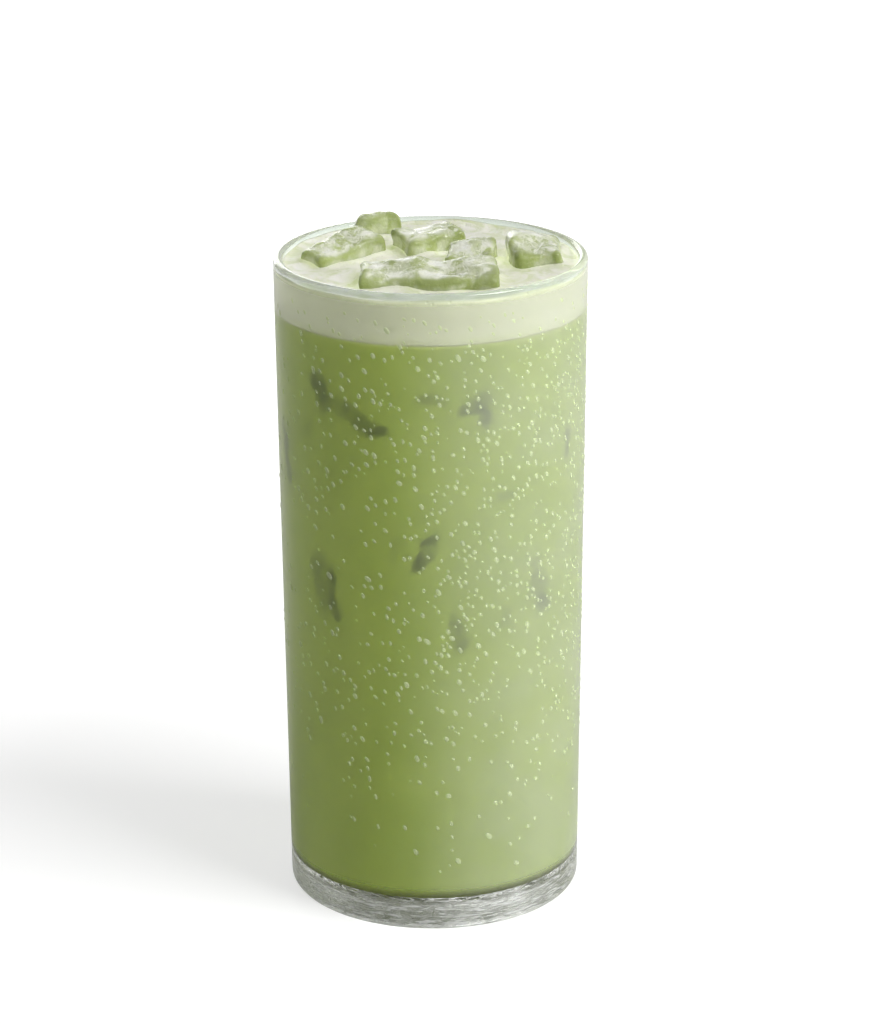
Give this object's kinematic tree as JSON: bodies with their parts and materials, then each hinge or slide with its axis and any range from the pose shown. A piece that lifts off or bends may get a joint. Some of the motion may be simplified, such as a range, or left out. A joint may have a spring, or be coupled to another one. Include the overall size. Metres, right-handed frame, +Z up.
{
  "type": "iced matcha latte",
  "caption": "Tall straight clear glass filled with iced green tea latte, with a pale foam top and blocks of ice standing out of it.",
  "frame": {"origin": "centre of the circle that the glass stands on", "axes": "+Z up along the glass's axis; +X to the right and -Y towards the viewer in the front view"},
  "size_m": [0.072, 0.072, 0.1568],
  "materials": {
    "glass": "clear soda-lime glass, lightly misted with condensation above the base",
    "latte": "opaque milky green tea",
    "foam": "fine pale milk foam with small bubbles",
    "ice": "wet melting ice, tinted green by the drink"
  },
  "bodies": {
    "root": {"glass": "glass", "latte": "latte", "foam": "foam", "ice_left": "ice", "ice_back": "ice", "ice_middle": "ice", "ice_inner": "ice", "ice_front": "ice", "ice_right": "ice"}
  },
  "joints": []
}
